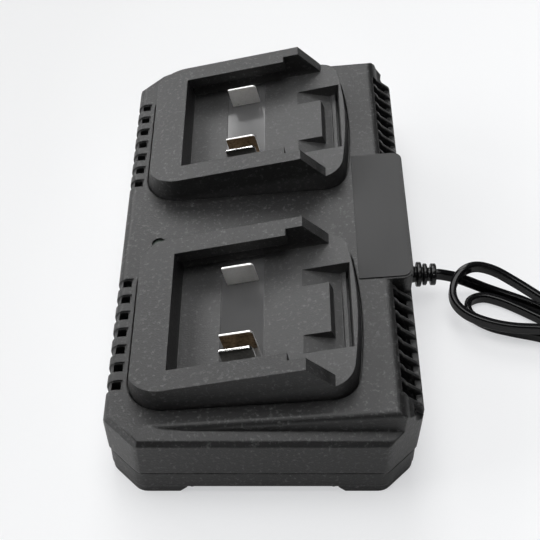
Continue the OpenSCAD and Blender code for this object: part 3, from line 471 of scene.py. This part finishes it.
def makeScrews():
    # the housing screws, heads down in the floor's recesses, each with a cross recess
    values = screwValues
    mesh = bmesh.new()
    head, shank, bevel = values["headRadius"], values["shankRadius"], values["headEdge"]
    shankLong = values["tip"] - values["low"] - values["headHeight"] - values["pointLong"]
    for x, y in values["places"]:
        low, arm, half = values["low"], values["recessArm"], values["recessHalf"]
        rim = bmesh.ops.create_circle(mesh, segments=32, radius=head - bevel)["verts"]
        rimEdges = list({edge for vert in rim for edge in vert.link_edges})
        cross = [mesh.verts.new((a, b, 0)) for a, b in
                 ((arm, -half), (arm, half), (half, half), (half, arm), (-half, arm), (-half, half), (-arm, half),
                  (-arm, -half), (-half, -half), (-half, -arm), (half, -arm), (half, -half))]
        crossEdges = [mesh.edges.new((cross[i - 1], cross[i])) for i in range(12)]
        bmesh.ops.triangle_fill(mesh, edges=rimEdges + crossEdges, use_beauty=True)
        sunk = bmesh.ops.extrude_edge_only(mesh, edges=crossEdges)["geom"]
        sunkVerts = [v for v in sunk if isinstance(v, bmesh.types.BMVert)]
        bmesh.ops.scale(mesh, verts=sunkVerts, vec=(values["recessTaper"], values["recessTaper"], 1))
        bmesh.ops.translate(mesh, verts=sunkVerts, vec=(0, 0, values["recessDeep"]))
        bmesh.ops.contextual_create(mesh, geom=[e for e in sunk if isinstance(e, bmesh.types.BMEdge)])
        edges, radius = rimEdges, head - bevel
        for nextRadius, rise in ((head, bevel), (head, values["headHeight"] - bevel), (shank, 0),
                                 (shank, shankLong), (values["pointRadius"], values["pointLong"])):
            drawn = bmesh.ops.extrude_edge_only(mesh, edges=edges)["geom"]
            verts = [v for v in drawn if isinstance(v, bmesh.types.BMVert)]
            bmesh.ops.scale(mesh, verts=verts, vec=(nextRadius / radius, nextRadius / radius, 1))
            bmesh.ops.translate(mesh, verts=verts, vec=(0, 0, rise))
            edges, radius = [e for e in drawn if isinstance(e, bmesh.types.BMEdge)], nextRadius
        bmesh.ops.contextual_create(mesh, geom=edges)
        made = [vert for vert in mesh.verts if not vert.tag]
        bmesh.ops.translate(mesh, verts=made, vec=(x, y, low))
        for vert in made:
            vert.tag = True
    return finished("housingScrews", mesh, screwMetal, ("housing_screws",), 30)


cordValues = {
    "width": 0.0046, "thickness": 0.0028, "exit": (0.0688, -0.0073, 0.012),
    "corner": 0.00095, "groove": 0.00018,
    "reliefEnd": (68.8, -7.3, 0),  # the routes below start there, in millimetres
    "lead": [(0, 0, 12), (2.6, 0, 11.8), (8.2, 0.3, 9.9), (14.2, 0.5, 6.8), (21.2, -0.3, 3.8), (28.2, -2.5, 2.6),
             (35.2, -5.7, 2.4), (39.2, -8.1, 2.4), (42.2, -10, 2.4)],
    "hank": [(42.2, -10, 2.4), (45.2, -11.9, 2.4), (52.2, -17.9, 2.6), (63.8, -24.2, 2.9), (72.8, -28.6, 2.9),
             (82.2, -32.1, 2.8), (93.9, -35.1, 2.4), (105.7, -37.9, 2.4), (117.3, -41.1, 2.4), (130.6, -45.5, 2.4),
             (136, -50.8, 2.4), (136.2, -58.3, 2.4), (130.9, -63.7, 2.4), (123.4, -63.8, 2.4), (114.5, -59.2, 2.4),
             (103.7, -53.9, 2.4), (93.1, -48, 2.4), (81.5, -41.9, 2.7), (69.6, -36.8, 3), (59.4, -32.7, 2.9),
             (50.2, -28.3, 2.8), (39.2, -24.3, 2.4), (29.2, -21.7, 2.4), (20.6, -18.7, 2.4), (13.8, -13.1, 2.4),
             (13.8, -6.7, 2.4), (19.6, -3.9, 2.4), (26.2, -5.7, 2.4), (33.2, -9.7, 2.4), (41.2, -15.3, 2.6),
             (51.2, -22.3, 2.9), (61.3, -27.9, 2.9), (71.2, -32.7, 2.9), (82.5, -36.8, 3), (94.3, -39.7, 4.3),
             (104.2, -41.7, 6.2), (116, -44.6, 7.4), (125.6, -47.3, 7.5), (129.2, -50.7, 7.5), (129.2, -55.6, 7.6),
             (125.8, -59.1, 7.7), (121, -59.2, 7.7), (112.1, -54.4, 7.7), (101.3, -49.1, 7.8), (90.6, -43.5, 8.1),
             (80.6, -39, 8.3), (70.4, -34.8, 8.3), (60.1, -30.9, 8.3), (50.2, -27.1, 8.2), (39.2, -25.1, 7.8),
             (28.2, -24.1, 7.6), (18.6, -21.7, 7.8), (10.8, -17.7, 8.4), (6.6, -12.5, 9.8), (6.4, -6.9, 12.2),
             (9.8, -1.7, 14.8), (15.8, 1.3, 15), (23.2, 0.3, 13.8), (31.2, -3.9, 11.8), (40.2, -10.3, 10),
             (50.2, -18.6, 8.7), (61.9, -26.1, 8.3), (72, -30.3, 8.3), (82.7, -33.2, 8.2), (93.1, -34, 8.4),
             (103.3, -35.3, 9.8), (111.9, -38.1, 11.6), (121.1, -42.1, 12.8), (129.6, -45.1, 12.8),
             (135, -50.4, 12.8), (135.1, -58, 12.8), (129.8, -63.5, 12.8), (122.3, -63.7, 12.9),
             (112.5, -58.7, 12.9), (101.6, -53.5, 13.2), (90.9, -47.9, 13.4), (80.2, -42.6, 13.6),
             (69.2, -37.8, 13.7), (62, -36.8, 13.6), (53.8, -35.9, 13.7), (48.8, -30.9, 13.6), (48.7, -23.9, 13.6),
             (53.7, -18.8, 13.9), (60.8, -18.6, 13.9), (67.5, -23.6, 13.9), (73.4, -27.9, 13.9), (83.6, -32.2, 13.8),
             (93.8, -36.4, 13.7), (104.1, -40.1, 13.5), (114.5, -43.7, 13.3), (123.9, -46.9, 13.2),
             (127.3, -50.2, 13.2), (127.4, -54.9, 13.2), (124.1, -58.2, 13.1), (119.3, -58.2, 13.1),
             (111.3, -54, 13.1), (101.4, -49.1, 13.3), (90.7, -43.5, 13.5), (80.8, -38.8, 13.6), (70.6, -34.5, 13.7),
             (63.6, -33.4, 13.7), (55.3, -32.6, 13.8), (52.1, -29.5, 13.8), (52, -25.2, 13.8), (55.1, -22.1, 13.9),
             (59.5, -22, 13.8), (66, -27.1, 13.7), (71.9, -31.1, 13.7), (82.1, -35.4, 13.6), (92.2, -39.6, 13.7),
             (101.3, -43.8, 14.5), (109.4, -47.6, 16.1), (117.7, -51.1, 17.9), (126.1, -54.4, 18.5),
             (133.6, -57.1, 18.4), (141.2, -60.3, 17.2), (148.2, -62.9, 14.8), (155.2, -64.9, 12)],
    "tail": [(155.2, -64.9, 12), (161.2, -66.3, 9.8), (168.2, -67.1, 8), (174.2, -67.3, 7), (179.2, -67.3, 7)],
}


def cordLine():
    line = []
    for part, steps in (("lead", 6), ("hank", 5), ("tail", 6)):
        points = [(Vector(p) + Vector(cordValues["reliefEnd"])) / 1000 for p in cordValues[part]]
        line += smoothRoute(points, steps)[1 if line else 0:]
    return line


def makeCord():
    line = cordLine()
    wide, thick = cordValues["width"], cordValues["thickness"]
    flat = bpy.data.curves.new("flat", "CURVE")
    flat.dimensions = "2D"
    outline = flat.splines.new("POLY")
    ring = []
    for sideX, sideY, start in ((1, 1, 0), (-1, 1, 90), (-1, -1, 180), (1, -1, 270)):
        middle = (sideX * (thick / 2 - cordValues["corner"]), sideY * (wide / 2 - cordValues["corner"]))
        arc = [(middle[0] + cordValues["corner"] * math.cos(math.radians(start + a)),
                middle[1] + cordValues["corner"] * math.sin(math.radians(start + a))) for a in range(0, 91, 18)]
        ring += arc
        if start in (90, 270):
            ring.append((sideX * (thick / 2 - cordValues["groove"]), 0.0))
    outline.points.add(len(ring) - 1)
    for point, (x, y) in zip(outline.points, ring):
        point.co = (x, y, 0, 1)
    outline.use_cyclic_u = True
    profile = bpy.data.objects.new("profile", flat)
    scene.collection.objects.link(profile)
    curve = bpy.data.curves.new("route", "CURVE")
    curve.dimensions = "3D"
    curve.twist_mode = "Z_UP"
    curve.bevel_mode = "OBJECT"
    curve.bevel_object = profile
    curve.use_fill_caps = True
    route = curve.splines.new("POLY")
    route.points.add(len(line) - 1)
    for point, at in zip(route.points, line):
        point.co = (*at, 1)
    route.use_smooth = True
    sweep = bpy.data.objects.new("sweep", curve)
    scene.collection.objects.link(sweep)
    data = bpy.data.meshes.new_from_object(sweep.evaluated_get(bpy.context.evaluated_depsgraph_get()))
    data.name = "mainsCord"
    bpy.data.objects.remove(sweep)
    bpy.data.objects.remove(profile)
    mesh = bmesh.new()
    mesh.from_mesh(data)
    bmesh.ops.remove_doubles(mesh, verts=mesh.verts, dist=0.00001)
    bmesh.ops.recalc_face_normals(mesh, faces=mesh.faces)
    mesh.to_mesh(data)
    mesh.free()
    piece = keep("mainsCord", data, leadSheath, ("mains_lead", "lead_hank", "lead_tail"), 60)
    length = sum((b - a).length for a, b in zip(line, line[1:]))
    print("cord length", round(length, 4))
    return piece, line, length


reliefValues = {
    "place": (54.3, -7.3, 12.0), "round": 0.42,
    "profile": [(-7.3, 0), (-7.3, 5.4), (-2.9, 5.4), (-2.9, 3.9), (0.5, 3.9), (0.5, 5.9), (4.1, 3.7), (6.7, 3.1),
                (6.7, 5), (8.6, 5), (8.6, 2.9), (9.4, 2.9), (9.4, 4.4), (10.9, 4.4), (10.9, 2.8), (12.4, 2.8),
                (12.4, 4.4), (14.5, 4.4), (14.5, 0)],
}


def makeRelief():
    mesh = turned(bmesh.new(), reliefValues["profile"], 48)
    softened(mesh, reliefValues["round"], 40)
    bmesh.ops.translate(mesh, verts=mesh.verts, vec=reliefValues["place"])
    return finished("strainRelief", mesh, reliefRubber, ("strain_relief",), 50)


bladeValues = {
    "slope": 13.5, "rim": 49.9, "depth": 11.4, "height": 8.8, "low": -16.5, "length": 12.0, "thick": 0.96,
    "corner": 1.5, "highCorner": 0.3, "shoulder": 4.2, "root": 8.0, "inset": 3.5, "round": 0.14,
    "bays": {"front": -51.5, "rear": 51.5},
    "spots": {"positive": 18.5, "sensor": -13.2, "negative": -20.1},
    "finishes": {"positive": bladeMetal, "sensor": sensorMetal, "negative": shadedBladeMetal},
}


def makeBlade(end, kind):
    values = bladeValues
    low, high = values["low"], values["low"] + values["length"]
    foot, top = -values["depth"], values["height"] - values["depth"]
    shoulder, root, inset = foot - values["shoulder"], foot - values["root"], values["inset"]
    outline = [(low, shoulder), (low + inset, shoulder), (low + inset, root), (high - inset, root),
               (high - inset, shoulder), (high, shoulder), (high, top), (low, top)]
    mesh = plate(bmesh.new(), outline, values["thick"], [(6, values["corner"]), (7, values["highCorner"])])
    softened(mesh, values["round"], 60, 2)
    tilt = Matrix.Rotation(math.radians(-values["slope"]), 3, "Y")
    bmesh.ops.rotate(mesh, verts=mesh.verts, cent=(0, 0, 0), matrix=tilt)
    bmesh.ops.translate(mesh, verts=mesh.verts, vec=(0, values["bays"][end] + values["spots"][kind], values["rim"]))
    return finished(f"{end}{kind.title()}Blade", mesh, values["finishes"][kind],
                    (f"{end}_{kind}_blade",))


tieValues = {
    "place": (140.0, -40.0, 0.0), "turn": -21.5, "wide": 6.0, "low": 0.1, "high": 17.0, "near": -8.2, "far": 8.1,
    "thick": 0.45, "round": 2.4, "edge": 0.12,
}


def makeTie():
    # a closed strap round the hank
    values = tieValues
    near, far, low, high = (values[side] + sign * values["thick"] for side, sign in
                            (("near", 1), ("far", -1), ("low", 1), ("high", -1)))
    mesh = bmesh.new()
    corners = [mesh.verts.new((-values["wide"] / 2, y, z)) for y, z in
               ((near, low), (far, low), (far, high), (near, high))]
    mesh.faces.new(corners)
    bmesh.ops.bevel(mesh, geom=corners, offset=values["round"], offset_type="OFFSET", segments=6, profile=0.5,
                    affect="VERTICES", clamp_overlap=True, material=-1)
    face = list(mesh.faces)[0]
    loop = list(face.edges)
    bmesh.ops.delete(mesh, geom=[face], context="FACES_ONLY")
    drawn = bmesh.ops.extrude_edge_only(mesh, edges=loop)["geom"]
    drawnVerts = [v for v in drawn if isinstance(v, bmesh.types.BMVert)]
    bmesh.ops.translate(mesh, verts=drawnVerts, vec=(values["wide"], 0, 0))
    bmesh.ops.recalc_face_normals(mesh, faces=mesh.faces)
    bmesh.ops.solidify(mesh, geom=list(mesh.faces), thickness=-values["thick"])
    softened(mesh, values["edge"], 60, 2)
    turn = Matrix.Rotation(math.radians(values["turn"]), 3, "Z")
    bmesh.ops.rotate(mesh, verts=mesh.verts, cent=(0, 0, 0), matrix=turn)
    bmesh.ops.translate(mesh, verts=mesh.verts, vec=values["place"])
    return finished("hankTie", mesh, tieBand, ("hank_tie",))


plugValues = {
    "place": (248.0, -74.6, 7.0), "round": 1.1, "longRound": 2.6,
    "sections": [(0, 3.4, 3.6), (4, 3.7, 4.3), (10, 4.3, 5.4), (14, 8.6, 6.1), (18, 11.9, 6.6), (22, 14.2, 7),
                 (27, 16.2, 6.95), (32, 17.6, 6.9), (36, 17.6, 6.8)],  # along, half width, half height
    "grips": [(16.5, 6.5), (19.5, 8.5), (22.5, 9.5), (25.5, 9.5)],  # along, half length
    "gripWide": 0.8, "gripHigh": 0.7, "gripRise": 6.28,
    "face": 36.0, "pinGap": 9.3, "pinRadius": 2.0, "pinLength": 19.0, "pinWaist": 0.15,
    "sleeveLength": 10.0, "sleeveSunk": 0.2, "sleeveThick": 0.2, "sleeveEdge": 0.1,
}


def makePlug():
    values = plugValues
    mesh = bmesh.new()
    loops = []
    for along, wide, high in values["sections"]:
        corners = [mesh.verts.new((along, y, z)) for y, z in
                   ((-wide, -high), (wide, -high), (wide, high), (-wide, high))]
        loops.append([mesh.edges.new((corners[i], corners[i - 1])) for i in range(4)])
    for a, b in zip(loops, loops[1:]):
        bmesh.ops.bridge_loops(mesh, edges=a + b)
    for loop in (loops[0], loops[-1]):
        bmesh.ops.contextual_create(mesh, geom=loop)
    bmesh.ops.recalc_face_normals(mesh, faces=mesh.faces)
    long = [edge for edge in mesh.edges if abs(edge.verts[0].co.x - edge.verts[1].co.x) > 0.1
            and edge.calc_face_angle(0) > math.radians(50)]
    bmesh.ops.bevel(mesh, geom=long, offset=values["longRound"], offset_type="OFFSET", segments=5, profile=0.5,
                    affect="EDGES", clamp_overlap=True, material=-1)
    softened(mesh, values["round"], 55, 4)
    bmesh.ops.translate(mesh, verts=mesh.verts, vec=values["place"])
    return finished("plugBody", mesh, plugCompound, ("plug_body",), 40)


def makePlugGrips():
    # low rounded bars across both wide sides of the plug
    values = plugValues
    mesh = bmesh.new()
    for along, half in values["grips"]:
        for side in (-1, 1):
            bar = bmesh.ops.create_uvsphere(mesh, u_segments=24, v_segments=12, radius=1.0)["verts"]
            bmesh.ops.scale(mesh, verts=bar, vec=(values["gripWide"], half, values["gripHigh"]))
            bmesh.ops.translate(mesh, verts=bar, vec=(along, 0, side * values["gripRise"]))
    bmesh.ops.translate(mesh, verts=mesh.verts, vec=values["place"])
    return finished("plugGrips", mesh, plugCompound)


def turnedPair(profile):
    # one turned form at each pin's place
    values = plugValues
    mesh = bmesh.new()
    for side in (-1, 1):
        form = turned(bmesh.new(), profile, 32)
        bmesh.ops.translate(form, verts=form.verts, vec=(values["face"], side * values["pinGap"], 0))
        scratch = bpy.data.meshes.new("scratch")
        form.to_mesh(scratch)
        form.free()
        mesh.from_mesh(scratch)
        bpy.data.meshes.remove(scratch)
    bmesh.ops.translate(mesh, verts=mesh.verts, vec=values["place"])
    return mesh


def makePins():
    values = plugValues
    radius, reach, sleeve = values["pinRadius"], values["pinLength"], values["sleeveLength"]
    waist, core = radius - values["pinWaist"], radius - values["sleeveThick"]
    sunk, edge = values["sleeveSunk"], values["sleeveEdge"]
    tip = [(reach - radius * (1 - math.sin(math.radians(a))), radius * math.cos(math.radians(a)))
           for a in range(0, 91, 15)]
    pins = turnedPair([(0, 0), (0, waist), (sleeve, waist), (sleeve + 0.1, radius)] + tip)
    sleeves = turnedPair([(-sunk, core), (-sunk, radius), (sleeve - sunk, radius), (sleeve, radius - edge),
                          (sleeve, core), (-sunk, core)])
    return (finished("plugPins", pins, pinMetal, ("plug_pins",)),
            finished("pinSleeves", sleeves, plugCompound))


makeScrews()
relief = makeRelief()
tie = makeTie()
plug = makePlug()
grips = makePlugGrips()
pins, sleeves = makePins()
for end in ("front", "rear"):
    for kind in ("positive", "sensor", "negative"):
        makeBlade(end, kind)
print("relief, tie, plug and blades made")

cord, cordPath, cordLength = makeCord()
print("cord made")


studio = {
    "floorHalf": 3.0, "floorDrop": 0.0001, "floorShade": 0.88, "floorUneven": 0.01, "floorGrain": 400.0,
    "backdrop": (0.913, 0.922, 0.939),
    "glow": 0.5, "mirroredGlow": 0.12,  # the backdrop's share in what the camera sees, and in what the gloss mirrors
    "level": 1.055, "rightward": 1.2, "nearer": 0.75,  # the backdrop's strength in the middle, and its rise per metre
    "lamps": [
        {"name": "topBox", "place": (-0.1, 0.1, 1.6), "size": (1.2, 1.0), "power": 15.0},
        {"name": "leftBox", "place": (-1.5, 0.0, 0.55), "size": (1.2, 0.9), "power": 13.6},
        {"name": "backBox", "place": (-0.12, 1.25, 1.25), "size": (0.75, 1.0), "power": 11.0},
        {"name": "backLowBox", "place": (-0.95, 1.1, 0.75), "size": (0.9, 0.5), "power": 8.6},
    ],
    "aim": (0, 0, 0.03),
    # narrow, so that they whiten the positive blades and little else
    "spots": [
        {"name": "frontBladeSpot", "place": (0.1, -0.95, 0.95), "aim": (-0.0105, -0.033, 0.038)},
        {"name": "rearBladeSpot", "place": (0.1, -0.85, 0.95), "aim": (-0.0105, 0.070, 0.038)},
    ],
    "spotWide": 1.6, "spotPower": 130.0, "spotSoft": 0.08,
}


def makeFloor():
    mesh = bmesh.new()
    bmesh.ops.create_grid(mesh, x_segments=2, y_segments=2, size=studio["floorHalf"])
    data = bpy.data.meshes.new("floor")
    mesh.to_mesh(data)
    mesh.free()
    floor = bpy.data.objects.new("floor", data)
    floor.location = (0, 0, -studio["floorDrop"])
    scene.collection.objects.link(floor)
    finish = Finish("floorPaper")
    tooth = finish.noise(finish.place(), studio["floorGrain"], 3.0, 0.6)
    shade = finish.blend(tooth, (studio["floorShade"] - studio["floorUneven"],) * 3,
                         (studio["floorShade"] + studio["floorUneven"],) * 3)
    lit = finish.add("ShaderNodeBsdfDiffuse", {}, {"Color": shade}, out="BSDF")
    seen = finish.add("ShaderNodeLightPath", out="Is Camera Ray")
    mirrored = finish.add("ShaderNodeLightPath", out="Is Glossy Ray")
    # the backdrop glows a little more towards the near right, where the lamps reach the paper least
    across = finish.add("ShaderNodeSeparateXYZ", {}, {"Vector": finish.place()}, out="X")
    along = finish.add("ShaderNodeSeparateXYZ", {}, {"Vector": finish.place()}, out="Y")
    share = (across * studio["rightward"] - along * studio["nearer"] + 0.5).clamped()
    low, high = (tuple(c * (studio["level"] + k) for c in studio["backdrop"]) for k in (-0.5, 0.5))
    glow = finish.add("ShaderNodeEmission", {}, {"Color": finish.blend(share, low, high), "Strength": 1.0},
                      out="Emission")
    both = finish.add("ShaderNodeMixShader", {}, {0: seen * studio["glow"] + mirrored * studio["mirroredGlow"],
                                                  1: lit, 2: glow}, out="Shader")
    data.materials.append(finish.close(both))


def makeWorld():
    world = bpy.data.worlds.new("studio")
    world.use_nodes = True
    tree = world.node_tree
    tree.nodes.clear()
    shown = tree.nodes.new("ShaderNodeBackground")
    shown.inputs["Color"].default_value = (*studio["backdrop"], 1)
    path = tree.nodes.new("ShaderNodeLightPath")
    end = tree.nodes.new("ShaderNodeOutputWorld")
    tree.links.new(path.outputs["Is Camera Ray"], shown.inputs["Strength"])
    tree.links.new(shown.outputs[0], end.inputs[0])
    scene.world = world


def makeLamps():
    for values in studio["lamps"]:
        data = bpy.data.lights.new(values["name"], "AREA")
        data.shape = "RECTANGLE"
        data.size, data.size_y = values["size"]
        data.energy = values["power"]
        lamp = bpy.data.objects.new(values["name"], data)
        lamp.location = values["place"]
        lamp.rotation_euler = (Vector(values["place"]) - Vector(studio["aim"])).to_track_quat("Z", "Y").to_euler()
        scene.collection.objects.link(lamp)


def makeSpots():
    for values in studio["spots"]:
        data = bpy.data.lights.new(values["name"], "SPOT")
        data.spot_size = math.radians(studio["spotWide"])
        data.spot_blend = 1.0
        data.shadow_soft_size = studio["spotSoft"]
        data.energy = studio["spotPower"]
        lamp = bpy.data.objects.new(values["name"], data)
        lamp.location = values["place"]
        lamp.rotation_euler = (Vector(values["place"]) - Vector(values["aim"])).to_track_quat("Z", "Y").to_euler()
        scene.collection.objects.link(lamp)


makeFloor()
makeWorld()
makeLamps()
makeSpots()
print("studio lit")
